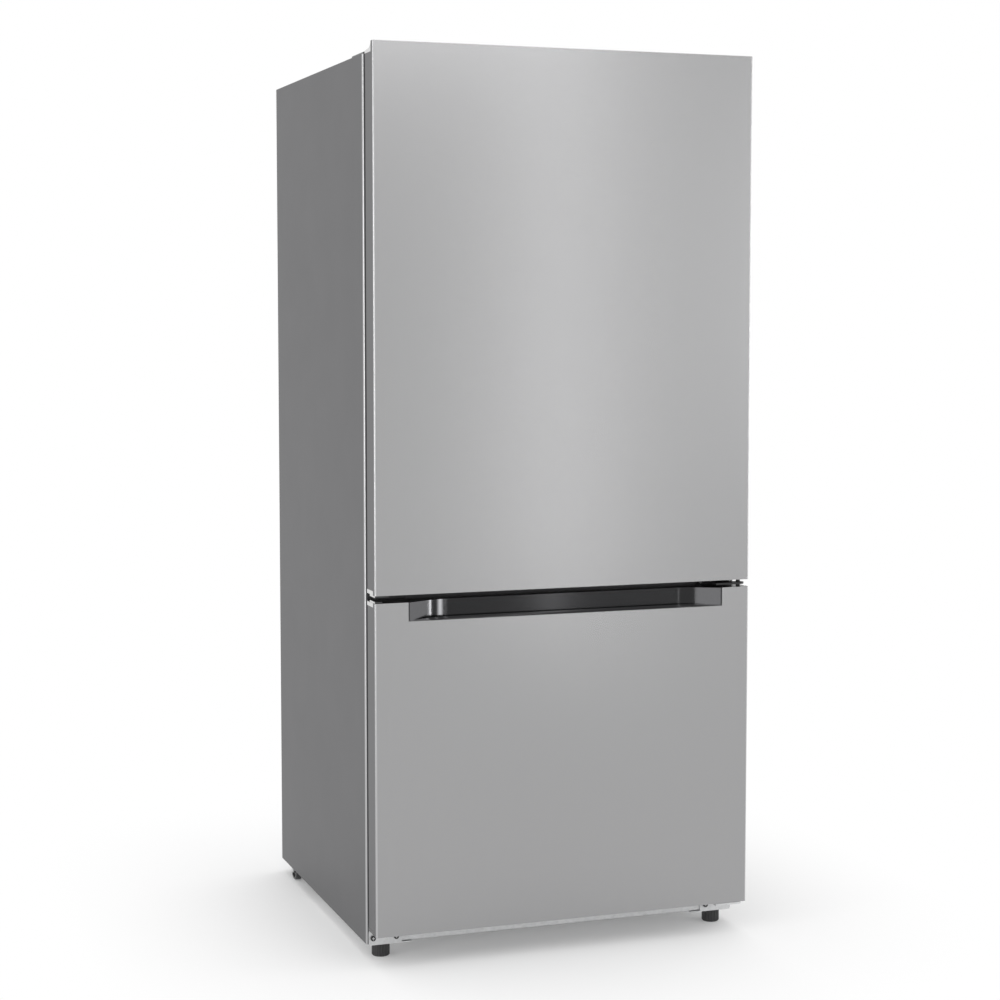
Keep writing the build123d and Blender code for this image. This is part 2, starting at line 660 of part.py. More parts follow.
crisper_front, crisper_rear = -172.0, 232.0
crisper_bottom, crisper_top = guide_top, 936.0
with BuildPart() as crisper_left:
    add(open_box(-308, -5, crisper_front, crisper_rear, crisper_bottom, crisper_top, 2.5, 10))
    box(-308, -5, crisper_front - 12, crisper_front + 3, crisper_top - 26, crisper_top)
    box(-300, -13, crisper_front - 9, crisper_front, crisper_top - 27, crisper_top - 5,
        Mode.SUBTRACT)
write(crisper_left, "crisper_left")

with BuildPart() as crisper_right:
    mirror(crisper_left.part, about=Plane.YZ)
write(crisper_right, "crisper_right")

drawer_half = 283.0


def freezer_drawer(rear, z0, z1):
    """A freezer drawer that hangs by its rims on the liner's ledges, with a finger slot."""
    add(open_box(-drawer_half, drawer_half, drawer_front, rear, z0, z1, 2.5, 12))
    for side in (-1, 1):
        x0, x1 = sorted((side * (drawer_half - 2), side * (freezer_half - 4)))
        box(x0, x1, drawer_front + 14, rear - 14, z1 - drawer_rim, z1 - drawer_rim + 4)
    box(-120, 120, drawer_front - 1, drawer_front + 4, z1 - 48, z1 - 22, Mode.SUBTRACT)


with BuildPart() as freezer_drawer_upper:
    freezer_drawer(128, upper_drawer_bottom, upper_drawer_top)
write(freezer_drawer_upper, "freezer_drawer_upper")

with BuildPart() as freezer_drawer_lower:
    freezer_drawer(66, lower_drawer_bottom, lower_drawer_top)
write(freezer_drawer_lower, "freezer_drawer_lower")

# ================================================================ doors
skin_side_depth = 12.0        # the skin's sides are full height only this far from the front
cap_show = 8.0                # height of an end cap that shows behind that, at the door's sides
top_cap_show = 19.0
cap_height = 20.0
step_y = door_front + skin_side_depth


def door_skin(z0, z1, low_cut, high_cut):
    """A door's steel skin: front, sides and narrow rear flanges, with its side ends cut back."""
    with BuildSketch(Plane.XY.offset(z0)) as wrap:
        outline = [
            (right - 10, door_back),
            (right, door_back),
            (right, door_front),
            (-right, door_front),
            (-right, door_back),
            (-right + 10, door_back),
        ]
        add(bent_sheet(outline, skin, skin_bend, Side.RIGHT))
    extrude(wrap.sketch, amount=z1 - z0)
    for side in (-1, 1):
        x0, x1 = sorted((side * (right - 12), side * (right + 1)))
        box(x0, x1, step_y, door_back + 1, z1 - high_cut, z1 + 1, Mode.SUBTRACT)
        box(x0, x1, step_y, door_back + 1, z0 - 1, z0 + low_cut, Mode.SUBTRACT)


def cap_block(z0, z1, show_z0, show_z1):
    """An end cap inside the skin, and its part that comes out flush with the skin's sides."""
    front, back = door_front + skin + clear, door_back - skin - clear
    with BuildSketch(Plane.XY.offset(z0)) as plug:
        with Locations((0, (front + back) / 2)):
            RectangleRounded(2 * skin_inside, back - front, skin_bend)
        with Locations((0, back)):
            Rectangle(2 * (right - 10 - clear), 2 * (door_back - back))
    extrude(plug.sketch, amount=z1 - z0)
    box(-right, right, step_y + clear, door_back, show_z0, show_z1)


def door_liner(z0, z1, dike_half, dike_z0, dike_z1, dike_back):
    """A door's inner lining, with a hollow ridge that stands into the cabinet."""
    plate_half = right - 10 - skin_bend
    box(-plate_half, plate_half, door_back - liner_wall, door_back, z0, z1)
    box(-dike_half, dike_half, door_back - 1, dike_back, dike_z0, dike_z1)
    box(-dike_half + 20, dike_half - 20, door_back, dike_back + 1, dike_z0 + 20, dike_z1 - 20,
        Mode.SUBTRACT)


def ridge_core(dike_half, dike_z0, dike_z1, dike_back, mode=Mode.ADD):
    """The foam-filled hollow of a door liner's ridge."""
    with BuildSketch(Plane.XZ.offset(-(dike_back - liner_wall))) as ring:
        with Locations((0, (dike_z0 + dike_z1) / 2)):
            Rectangle(2 * (dike_half - liner_wall), dike_z1 - dike_z0 - 2 * liner_wall)
            Rectangle(2 * (dike_half - 20 + liner_wall), dike_z1 - dike_z0 - 40 + 2 * liner_wall,
                      mode=Mode.SUBTRACT)
    reach = dike_back - liner_wall - door_back + liner_wall + 1
    extrude(ring.sketch, amount=reach, mode=mode)


gasket_outer, gasket_inner = right - 16, right - 30


def gasket_ring(z0, z1):
    """A magnetic gasket between a door's back and the cabinet's front."""
    box(-gasket_outer, gasket_outer, door_back + clear, cabinet_front - 0.3, z0, z1)
    box(-gasket_inner, gasket_inner, door_back, cabinet_front, z0 + 14, z1 - 14, Mode.SUBTRACT)


# ---------------------------------------------------------------- fresh-food door
top_notch_z = fridge_door_top - top_cap_show
with BuildPart() as fridge_door_panel:
    door_skin(fridge_door_bottom, fridge_door_top, cap_show, top_cap_show)
write(fridge_door_panel, "fridge_door_panel")

with BuildPart() as fridge_door_top_cap:
    cap_block(top_notch_z - cap_height, top_notch_z + clear, top_notch_z + clear, top_notch_z + 1)
    with BuildSketch(Plane.YZ.offset(-right)):
        with BuildLine():
            Line((step_y + clear, top_notch_z + clear), (door_back, top_notch_z + clear))
            Line((door_back, top_notch_z + clear), (door_back, top_notch_z + 5))
            Line((door_back, top_notch_z + 5), (door_back - 22, top_notch_z + 7))
            ThreePointArc(
                (door_back - 22, top_notch_z + 7),
                (door_back - 32, top_notch_z + 10),
                (step_y + clear, top_notch_z + 15.5),
            )
            Line((step_y + clear, top_notch_z + 15.5), (step_y + clear, top_notch_z + clear))
        make_face()
    extrude(amount=width)
    with BuildSketch(Plane.YZ.offset(2 * skin_bend - right)):
        with BuildLine():
            Polyline(
                (step_y + 0.5, top_notch_z - 1),
                (step_y + 0.5, top_notch_z + 15.2),
                (door_front + 5, fridge_door_top - 1),
                (door_front + skin + clear, fridge_door_top - 1),
                (door_front + skin + clear, top_notch_z - 1),
                close=True,
            )
        make_face()
    extrude(amount=2 * (right - 2 * skin_bend))
    box(hinge_x - 68, right + 1, door_front + 3.2, door_back + 1, top_notch_z + 0.6,
        fridge_door_top + 1, Mode.SUBTRACT)
    post(hinge_x, hinge_y, top_notch_z - 17, top_notch_z + 2, bush_radius, Mode.SUBTRACT)
write(fridge_door_top_cap, "fridge_door_top_cap")

with BuildPart() as fridge_door_bottom_cap:
    cap_block(fridge_door_bottom + 0.5, fridge_door_bottom + cap_height,
              fridge_door_bottom + 0.5, fridge_door_bottom + cap_show - clear)
    box(-skin_inside, -right + 28, door_front + 4, door_back - 14, fridge_door_bottom - 3.5,
        fridge_door_bottom + 1)
    box(-300, 300, door_front + 14, door_back - 14, fridge_door_bottom, fridge_door_bottom + 11,
        Mode.SUBTRACT)
    post(hinge_x, hinge_y, fridge_door_bottom - 1, fridge_door_bottom + 15.5, bush_radius,
         Mode.SUBTRACT)
write(fridge_door_bottom_cap, "fridge_door_bottom_cap")

fridge_dike = (305.0, 736.0, 1606.0, door_back + 40)
bin_half, bin_back = 280.0, door_back + 90
bin_levels = ((757.0, 108.0), (968.0, 84.0), (1176.0, 84.0))
dairy_bottom, dairy_wall_top, dairy_pivot_z = 1384.0, 1440.0, 1496.0
with BuildPart() as fridge_door_liner:
    door_liner(fridge_door_bottom + cap_height + clear, top_notch_z - cap_height - clear, *fridge_dike)
    ridge_core(*fridge_dike, Mode.SUBTRACT)
    for bin_bottom in [level for level, height in bin_levels] + [dairy_bottom]:
        for side in (-1, 1):
            x0, x1 = sorted((side * 274, side * 286))
            box(x0, x1, door_back - 1, door_back + 34, bin_bottom - 10, bin_bottom - clear)
write(fridge_door_liner, "fridge_door_liner")

with BuildPart() as fridge_door_foam:
    box(-skin_inside + clear, skin_inside - clear, door_front + skin + 2 * clear,
        door_back - liner_wall - clear, fridge_door_bottom + cap_height + clear,
        top_notch_z - cap_height - clear)
    fillet(fridge_door_foam.edges().filter_by(Axis.Z), radius=skin_bend)
write(fridge_door_foam, "fridge_door_foam")

with BuildPart() as fridge_door_gasket:
    gasket_ring(702, 1659)
write(fridge_door_gasket, "fridge_door_gasket")

with BuildPart() as door_bins:
    for bin_bottom, bin_height in bin_levels:
        add(open_box(-bin_half, bin_half, door_back + 0.4, bin_back, bin_bottom,
                     bin_bottom + bin_height, 2.5, 9))
write(door_bins, "door_bins")

dairy_pivot_y = door_back + 8
with BuildPart() as dairy_bin:
    add(open_box(-bin_half, bin_half, door_back + 0.4, bin_back, dairy_bottom, dairy_wall_top,
                 2.5, 9))
    for side in (-1, 1):
        x0, x1 = sorted((side * bin_half, side * (bin_half - 2.5)))
        box(x0, x1, door_back + 0.4, dairy_pivot_y + 10, dairy_wall_top - 20, dairy_pivot_z + 8)
        x0, x1 = sorted((side * (bin_half - 1), side * (bin_half - 7)))
        bar(x0, x1, dairy_pivot_y, dairy_pivot_z, 2.5)
write(dairy_bin, "dairy_bin")

cover_half = bin_half - 3.5
with BuildPart() as dairy_cover:
    bar(-cover_half, cover_half, dairy_pivot_y, dairy_pivot_z, 5)
    box(-cover_half, cover_half, dairy_pivot_y, bin_back - 1, dairy_pivot_z + 1.5, dairy_pivot_z + 4)
    box(-cover_half, cover_half, bin_back - 4, bin_back - 1, dairy_wall_top + 1,
        dairy_pivot_z + 4)
    fillet(dairy_cover.edges().filter_by(Axis.X).group_by(Axis.Y)[-1], radius=1)
    bar(-cover_half - 1, cover_half + 1, dairy_pivot_y, dairy_pivot_z, 2.56, Mode.SUBTRACT)
write(dairy_cover, "dairy_cover")

# ---------------------------------------------------------------- freezer door
pocket_x0, pocket_x1 = -right + pocket_left_margin, right - pocket_right_margin
pocket_bottom = freezer_door_top - pocket_height
pocket_floor = pocket_bottom - pocket_lip
pocket_wall = 2.5


def pocket_space(grow, z0, z1, cove):
    """The hollow of the handle pocket: ramps at both ends, a straight back and a coved floor."""
    reach = 20.0                              # how far the space is carried out past the front
    slope = pocket_ramp / pocket_depth
    with BuildPart() as space:
        with BuildSketch(Plane.XY.offset(z0)):
            with BuildLine():
                wall = FilletPolyline(
                    (pocket_x0 - reach * slope - grow, door_front - reach),
                    (pocket_x0 + pocket_ramp - grow * 0.25, door_front + pocket_depth + grow),
                    (pocket_x1 - pocket_ramp + grow * 0.25, door_front + pocket_depth + grow),
                    (pocket_x1 + reach * slope + grow, door_front - reach),
                    radius=pocket_corner,
                )
                Line(wall @ 1, wall @ 0)
            make_face()
        extrude(amount=z1 - z0)
        floor_edges = space.edges().group_by(Axis.Z)[0].sort_by(Axis.Y)[1:]
        fillet(floor_edges, radius=cove)
    return space.part


hollow = pocket_space(0, pocket_floor, freezer_door_top + 5, pocket_cove)
shell_outer = pocket_space(pocket_wall, pocket_floor - pocket_wall, freezer_door_top - 0.5,
                           pocket_cove + pocket_wall)
shell_clearance = pocket_space(pocket_wall + clear, pocket_floor - pocket_wall - clear,
                               freezer_door_top + 5, pocket_cove + pocket_wall)

with BuildPart() as handle_pocket:
    add(shell_outer)
    box(-right, right, door_front - 40, door_front + skin + clear, 0, 700, Mode.SUBTRACT)
    add(hollow, mode=Mode.SUBTRACT)
write(handle_pocket, "handle_pocket")

with BuildPart() as freezer_door_panel:
    door_skin(freezer_door_bottom, freezer_door_top, cap_show, cap_show)
    box(pocket_x0, pocket_x1, door_front - 1, door_front + 2, pocket_bottom, freezer_door_top + 1,
        Mode.SUBTRACT)
write(freezer_door_panel, "freezer_door_panel")

with BuildPart() as freezer_door_top_cap:
    cap_block(freezer_door_top - cap_height, freezer_door_top - 0.5,
              freezer_door_top - cap_show + clear, freezer_door_top - 0.5)
    box(-skin_inside, -right + 15, door_front + 4, door_back - 14, freezer_door_top - 1,
        freezer_door_top + 3)
    add(shell_clearance, mode=Mode.SUBTRACT)
    post(hinge_x, hinge_y, freezer_door_top - 15, freezer_door_top + 1, bush_radius, Mode.SUBTRACT)
write(freezer_door_top_cap, "freezer_door_top_cap")

with BuildPart() as freezer_door_bottom_cap:
    cap_block(freezer_door_bottom + 0.5, freezer_door_bottom + cap_height,
              freezer_door_bottom + 0.5, freezer_door_bottom + cap_show - clear)
    post(hinge_x, hinge_y, freezer_door_bottom - 1, freezer_door_bottom + 14, bush_radius,
         Mode.SUBTRACT)
write(freezer_door_bottom_cap, "freezer_door_bottom_cap")

freezer_dike = (286.0, 104.0, 622.0, door_back + 34)
with BuildPart() as freezer_door_liner:
    door_liner(freezer_door_bottom + cap_height + clear, freezer_door_top - cap_height - clear,
               *freezer_dike)
    ridge_core(*freezer_dike, Mode.SUBTRACT)
write(freezer_door_liner, "freezer_door_liner")

with BuildPart() as freezer_door_foam:
    box(-skin_inside + clear, skin_inside - clear, door_front + skin + 2 * clear,
        door_back - liner_wall - clear, freezer_door_bottom + cap_height + clear,
        freezer_door_top - cap_height - clear)
    fillet(freezer_door_foam.edges().filter_by(Axis.Z), radius=skin_bend)
    add(shell_clearance, mode=Mode.SUBTRACT)
write(freezer_door_foam, "freezer_door_foam")

with BuildPart() as freezer_door_gasket:
    gasket_ring(67, 668)
write(freezer_door_gasket, "freezer_door_gasket")
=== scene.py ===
import json
import math

import bmesh
import bpy
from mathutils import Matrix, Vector


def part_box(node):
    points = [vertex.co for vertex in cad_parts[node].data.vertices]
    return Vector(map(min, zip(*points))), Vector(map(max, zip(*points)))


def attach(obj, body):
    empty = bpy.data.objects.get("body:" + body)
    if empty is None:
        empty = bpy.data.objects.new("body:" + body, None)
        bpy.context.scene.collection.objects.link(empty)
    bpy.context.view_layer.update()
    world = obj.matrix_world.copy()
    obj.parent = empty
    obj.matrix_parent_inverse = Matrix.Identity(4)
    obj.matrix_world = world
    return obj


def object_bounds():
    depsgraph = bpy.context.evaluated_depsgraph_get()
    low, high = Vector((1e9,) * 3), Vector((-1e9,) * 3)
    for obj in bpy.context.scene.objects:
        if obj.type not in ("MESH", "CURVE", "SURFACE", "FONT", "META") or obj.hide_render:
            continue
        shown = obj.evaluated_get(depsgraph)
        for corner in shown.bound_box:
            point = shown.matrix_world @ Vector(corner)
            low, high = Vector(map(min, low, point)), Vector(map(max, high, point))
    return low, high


# A free-standing bottom-freezer refrigerator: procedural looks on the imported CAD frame.
# Metres, +Z up, -Y towards the viewer.

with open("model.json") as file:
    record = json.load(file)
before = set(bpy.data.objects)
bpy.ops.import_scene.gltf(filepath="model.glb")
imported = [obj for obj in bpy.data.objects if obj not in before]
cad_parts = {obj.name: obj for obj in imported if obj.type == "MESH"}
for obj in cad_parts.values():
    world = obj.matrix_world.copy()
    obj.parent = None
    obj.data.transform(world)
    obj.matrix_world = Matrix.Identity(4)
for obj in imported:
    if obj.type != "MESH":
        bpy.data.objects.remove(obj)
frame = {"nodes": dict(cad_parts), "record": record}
nodes = frame["nodes"]
cad_low, cad_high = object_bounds()
scene = bpy.context.scene

# ------------------------------------------------------------------ sizes and places
door_low, door_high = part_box("fridge_door_panel")
door_bend = 0.0030                       # the doors' steel is bare as far as its front bend
door_edge = door_low.y + door_bend
# outside this the doors' front bends are painted a lighter grey, a painted highlight along the door
# edges
door_highlight_x = door_high.x - door_bend
cap_side = door_high.x - 0.0012          # outside this the end caps are light

case_bend = 0.0045                       # the outer part of the case's front bends is painted light and metallic, a painted highlight
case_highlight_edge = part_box("side_panel_left")[0].y + case_bend
# outside this the case's front bends carry the painted highlight
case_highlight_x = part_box("side_panel_right")[1].x - 0.0025
door_blur, case_blur = 0.0003, 0.0002    # half the width over which bare steel turns to paint on the doors, and the painted highlight turns to paint on the case

case_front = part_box("centre_rail")[0].y
screw_head = 0.006                       # how far the front screws' heads stand out
recess_arm, recess_half_width = 0.0030, 0.0006
bracket_screws = [(x, 0.040) for x in (-0.363, -0.318, 0.318, 0.363)]
hinge_screws = [(x, 0.682) for x in (0.302, 0.363)]

dial_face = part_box("control_box")[0].y + 0.009     # the box's own front, behind its knob spindle
dial_radius = 0.0190
dial_count = 10
dial_first, dial_step = 225, 30          # degrees, over the knob's own 270
mark_length, mark_growth, mark_width = 0.0026, 0.0004, 0.0011
pointer_out, pointer_length, pointer_width = 0.0085, 0.0070, 0.0016

cover_side_inset = 0.012                 # the machine room cover's screws, in from its edges
cover_low_inset, cover_high_inset = 0.014, 0.012
washer_radius, hexagon_radius = 0.0065, 0.0042

grip_below_rim = 0.035                   # from a freezer drawer's rim to its finger slot's middle
grip_half_length, grip_half_height = 0.118, 0.011

floor_half_side = 120
floor_fade = 0.5                         # where the floor has brightened to plain white


# ------------------------------------------------------------------ node helpers
class Tree:
    """A material's node tree, with short calls to add and join nodes."""

    def __init__(self, name):
        self.material = bpy.data.materials.new(name)
        self.material.use_nodes = True
        self.tree = self.material.node_tree
        self.tree.nodes.clear()
        self.output = self.tree.nodes.new("ShaderNodeOutputMaterial")
        self.shader = self.tree.nodes.new("ShaderNodeBsdfPrincipled")
        self.link(self.shader.outputs[0], self.output.inputs["Surface"])

    def link(self, start, end):
        self.tree.links.new(start, end)

    def set(self, **sockets):
        """Plain values for the shader's sockets, with _ for a space in their names."""
        for name, value in sockets.items():
            self.shader.inputs[name.replace("_", " ")].default_value = value

    def add(self, kind, inputs=None, **settings):
        """A node with its settings made and its inputs set or linked."""
        node = self.tree.nodes.new(kind)
        for key, value in settings.items():
            setattr(node, key, value)
        for key, value in (inputs or {}).items():
            if isinstance(value, bpy.types.NodeSocket):
                self.link(value, node.inputs[key])
            else:
                node.inputs[key].default_value = value
        return node

    def position(self, scale=(1, 1, 1)):
        """Object coordinates, stretched."""
        coords = self.add("ShaderNodeTexCoord")
        mapping = self.add("ShaderNodeMapping", {"Vector": coords.outputs["Object"]})
        mapping.inputs["Scale"].default_value = scale
        return mapping.outputs["Vector"]

    def noise(self, scale, stretch=(1, 1, 1), detail=3.0, rough=0.5):
        """Noise of about nought to one, with scale times stretch cells to the metre."""
        node = self.add(
            "ShaderNodeTexNoise",
            {"Vector": self.position(stretch), "Scale": scale, "Detail": detail, "Roughness": rough},
        )
        return node.outputs["Fac"]

    def outside(self, half_x):
        """One where |x| is over half_x, nought elsewhere, and the y coordinate."""
        across = self.add("ShaderNodeSeparateXYZ", {"Vector": self.position()})
        width = self.add("ShaderNodeMath", {0: across.outputs["X"]}, operation="ABSOLUTE")
        over = self.add("ShaderNodeMath", {0: width.outputs[0], 1: half_x}, operation="GREATER_THAN")
        return over.outputs[0], across.outputs["Y"]

    def both(self, first, second):
        """The product of two masks."""
        return self.add("ShaderNodeMath", {0: first, 1: second}, operation="MULTIPLY").outputs[0]

    def ramp(self, value, low, high, start=0.3, end=0.7):
        """A value or a grey between low and high as the input runs from start to end."""
        node = self.add(
            "ShaderNodeMapRange",
            {"Value": value, "From Min": start, "From Max": end, "To Min": low, "To Max": high},
        )
        return node.outputs["Result"]

    def colours(self, value, first, second, start=0.3, end=0.7):
        """A colour that runs from first to second as the value runs from start to end."""
        node = self.add("ShaderNodeValToRGB", {"Fac": value})
        node.color_ramp.elements[0].position = start
        node.color_ramp.elements[0].color = (*first, 1)
        node.color_ramp.elements[1].position = end
        node.color_ramp.elements[1].color = (*second, 1)
        return node.outputs["Color"]

    def blend(self, factor, first, second):
        """A value between first and second."""
        node = self.add("ShaderNodeMix", {0: factor, 2: first, 3: second}, data_type="FLOAT")
        return node.outputs[0]

    def mix(self, factor, first, second):
        """A colour between first and second, each a colour or an output."""
        node = self.add("ShaderNodeMix", data_type="RGBA")
        for socket, value in ((node.inputs[0], factor), (node.inputs[6], first),
                              (node.inputs[7], second)):
            if isinstance(value, bpy.types.NodeSocket):
                self.link(value, socket)
            elif isinstance(value, tuple):
                socket.default_value = (*value, 1)
            else:
                socket.default_value = value
        return node.outputs[2]

    def bump(self, height, strength, distance):
        node = self.add(
            "ShaderNodeBump", {"Height": height, "Strength": strength, "Distance": distance}
        )
        return node.outputs["Normal"]

    def feed(self, **sockets):
        """Outputs linked to the shader's sockets, with _ for a space in their names."""
        for name, value in sockets.items():
            self.link(value, self.shader.inputs[name.replace("_", " ")])


# ------------------------------------------------------------------ materials
side_paint = (0.070, 0.070, 0.073)


def brushed_stainless(name):
    """Stainless sheet with a fine grain along Z and broad soft tone changes, painted behind; its front
    bends are painted lighter as a painted highlight.
    """
    t = Tree(name)
    fine = t.noise(1.0, (1500, 1500, 8), 3, 0.6)
    broad = t.noise(1.0, (60, 60, 0.8), 3, 0.6)
    cloudy = t.noise(1.6, (1, 1, 0.6), 2, 0.5)
    grain = t.mix(t.ramp(fine, 0, 1), (0.340, 0.340, 0.343), (0.355, 0.355, 0.358))
    streaks = t.mix(t.ramp(broad, 0, 0.08), grain, (0.330, 0.330, 0.333))
    tone = t.mix(t.ramp(cloudy, 0, 0.15), streaks, (0.38, 0.38, 0.382))
    # painted highlight: the doors' front bends get a lighter grey than the rest of the steel
    painted_highlight, depth = t.outside(door_highlight_x)
    tone = t.mix(painted_highlight, tone, (0.45, 0.45, 0.455))
    side = t.ramp(depth, 0, 1, door_edge - door_blur, door_edge + door_blur)
    paint = t.colours(t.noise(2.2), side_paint, tuple(c * 1.1 for c in side_paint))
    t.feed(Base_Color=t.mix(side, tone, paint),
           Metallic=t.ramp(side, 1, 0, 0, 1),
           Roughness=t.blend(side, t.ramp(fine, 0.250, 0.262), 0.45))
    return t.material


def case_finish(name):
    """The case's baked paint, with a painted highlight: the outer part of the front bends of its two
    sides is painted light and metallic.
    """
    t = Tree(name)
    peel = t.noise(420, detail=2)
    paint = t.colours(t.noise(2.2), side_paint, tuple(c * 1.04 + 0.001 for c in side_paint))
    # painted highlight: the outer part of each front bend is painted light grey and metallic
    over, depth = t.outside(case_highlight_x)
    front = t.ramp(depth, 1, 0, case_highlight_edge - case_blur, case_highlight_edge + case_blur)
    painted_highlight = t.both(over, front)
    t.feed(Base_Color=t.mix(painted_highlight, paint, (0.42, 0.42, 0.425)),
           Metallic=painted_highlight,
           Roughness=t.blend(painted_highlight, t.ramp(t.noise(9, detail=4), 0.415, 0.435), 0.3),
           Normal=t.bump(peel, 0.08, 0.0004))
    t.set(Specular_IOR_Level=0.3)
    return t.material


def painted_steel(name, colour, roughness):
    """Baked paint on steel: orange peel, slightly uneven gloss and slight tone drift."""
    t = Tree(name)
    peel = t.noise(420, detail=2)
    lighter = tuple(min(1, c * 1.04 + 0.001) for c in colour)
    t.feed(Base_Color=t.colours(t.noise(2.2), colour, lighter),
           Roughness=t.ramp(t.noise(9, detail=4), roughness - 0.04, roughness + 0.05),
           Normal=t.bump(peel, 0.10, 0.0004))
    t.set(Specular_IOR_Level=0.3)
    return t.material


def galvanised(name):
    """Zinc-coated steel with a small crystalline spangle."""
    t = Tree(name)
    cells = t.add("ShaderNodeTexVoronoi", {"Vector": t.position(), "Scale": 160.0})
    shade = t.mix(t.ramp(cells.outputs["Distance"], 0, 1, 0.1, 0.8), (0.56, 0.565, 0.57),
                  (0.62, 0.625, 0.63))
    t.feed(Base_Color=shade, Roughness=t.ramp(t.noise(60), 0.38, 0.55),
           Normal=t.bump(cells.outputs["Distance"], 0.02, 0.0003))
    t.set(Metallic=0.85)
    return t.material


def plain_metal(name, colour, roughness):
    """Bare metal with fine marks across X."""
    t = Tree(name)
    scratch = t.noise(1.0, (300, 30, 30), 4)
    darker = tuple(c * 0.8 for c in colour)
    t.feed(Base_Color=t.colours(scratch, darker, colour),
           Roughness=t.ramp(scratch, roughness - 0.08, roughness + 0.08),
           Normal=t.bump(scratch, 0.08, 0.0002))
    t.set(Metallic=1.0)
    return t.material


def moulded(name, colour, roughness, grain=500.0, depth=0.12):
    """Moulded plastic with a fine spark-eroded grain and slight flow marks."""
    t = Tree(name)
    texture = t.noise(grain, detail=2)
    flow = t.noise(5, (1, 1, 0.4), 3)
    lighter = tuple(min(1, c * 1.1 + 0.003) for c in colour)
    t.feed(Base_Color=t.colours(flow, colour, lighter),
           Roughness=t.ramp(texture, roughness - 0.05, roughness + 0.06),
           Normal=t.bump(texture, depth, 0.0003))
    return t.material


def cap_finish(name):
    """Dark moulded end caps whose side faces are light grey, level with the door's side."""
    t = Tree(name)
    texture = t.noise(900, detail=2)
    over = t.outside(cap_side)[0]
    dark = t.colours(t.noise(5, (1, 1, 0.4), 3), (0.020, 0.020, 0.021), (0.026, 0.026, 0.027))
    t.feed(Base_Color=t.mix(over, dark, (0.50, 0.50, 0.495)),
           Roughness=t.ramp(texture, 0.26, 0.36),
           Normal=t.bump(texture, 0.04, 0.0003))
    return t.material


def pocket_finish(name):
    """Dark glossy metallic paint with a fine flake, on a smooth moulding."""
    t = Tree(name)
    flake = t.noise(2500, detail=1)
    t.feed(Base_Color=t.colours(flake, (0.022, 0.022, 0.023), (0.030, 0.030, 0.031)),
           Roughness=t.ramp(flake, 0.10, 0.14))
    t.set(Metallic=0.9)
    return t.material


def clear_moulding(name, colour, density=0.35, roughness=0.06):
    """See-through moulded plastic with a slight ripple."""
    t = Tree(name)
    ripple = t.noise(14, detail=2)
    t.feed(Base_Color=t.colours(ripple, colour, tuple(min(1, c * 1.04) for c in colour)),
           Roughness=t.ramp(ripple, roughness, roughness + 0.05),
           Normal=t.bump(ripple, 0.05, 0.0008))
    t.set(IOR=1.49, Alpha=density)
    return t.material


def glass(name):
    """Clear green-tinted sheet with faint smears."""
    t = Tree(name)
    smear = t.noise(7, detail=4)
    t.feed(Base_Color=t.colours(smear, (0.72, 0.86, 0.82), (0.80, 0.91, 0.88)),
           Roughness=t.ramp(smear, 0.03, 0.10))
    t.set(IOR=1.52, Alpha=0.30)
    return t.material


def rubber(name, colour, roughness=0.62):
    """Soft matt rubber with a pale bloom."""
    t = Tree(name)
    grit = t.noise(700, detail=3)
    bloom = t.noise(18, detail=3)
    lighter = tuple(c * 1.35 + 0.006 for c in colour)
    t.feed(Base_Color=t.colours(bloom, colour, lighter),
           Roughness=t.ramp(grit, roughness - 0.07, roughness + 0.08),
           Normal=t.bump(grit, 0.18, 0.0004))
    return t.material


def foam(name):
    """Yellow rigid foam with small cells."""
    t = Tree(name)
    cells = t.add("ShaderNodeTexVoronoi", {"Vector": t.position(), "Scale": 420.0})
    t.feed(Base_Color=t.colours(cells.outputs["Distance"], (0.62, 0.52, 0.30), (0.80, 0.72, 0.48)),
           Normal=t.bump(cells.outputs["Distance"], 0.4, 0.001))
    t.set(Roughness=0.9)
    return t.material


materials = {
    "stainless": brushed_stainless("stainless"),
    "cabinet_paint": case_finish("cabinet_paint"),
    "back_paint": painted_steel("back_paint", (0.36, 0.37, 0.38), 0.5),
    "zinc_steel": galvanised("zinc_steel"),
    "dark_steel": painted_steel("dark_steel", (0.018, 0.018, 0.019), 0.35),
    "silver_plastic": moulded("silver_plastic", (0.50, 0.50, 0.50), 0.38, 600, 0.06),
    "grey_plastic": moulded("grey_plastic", (0.022, 0.022, 0.023), 0.25, 900, 0.03),
    "cap_plastic": cap_finish("cap_plastic"),
    "pocket_plastic": pocket_finish("pocket_plastic"),
    "black_plastic": moulded("black_plastic", (0.032, 0.032, 0.033), 0.42),
    "white_liner": moulded("white_liner", (0.69, 0.70, 0.70), 0.25, 300, 0.05),
    "white_plastic": moulded("white_plastic", (0.66, 0.67, 0.67), 0.36),
    "clear_plastic": clear_moulding("clear_plastic", (0.80, 0.87, 0.89)),
    "frosted_plastic": clear_moulding("frosted_plastic", (0.90, 0.91, 0.88), 0.75, 0.4),
    "shelf_glass": glass("shelf_glass"),
    "gasket": rubber("gasket", (0.03, 0.03, 0.031)),
    "rubber": rubber("rubber", (0.014, 0.014, 0.014)),
    "foam": foam("foam"),
    "aluminium": plain_metal("aluminium", (0.74, 0.75, 0.76), 0.35),
    "copper": plain_metal("copper", (0.72, 0.33, 0.18), 0.3),
}

slot_of = {s["node"]: s["material_slot"] for s in frame["record"]["subparts"]}
for name, node in nodes.items():
    node.data.materials.clear()
    node.data.materials.append(materials[slot_of[name]])


def smooth(obj, angle=32):
    """Smooth shading across shallow edges only."""
    obj.data.shade_smooth()
    obj.data.set_sharp_from_angle(angle=math.radians(angle))


for node in nodes.values():
    smooth(node)


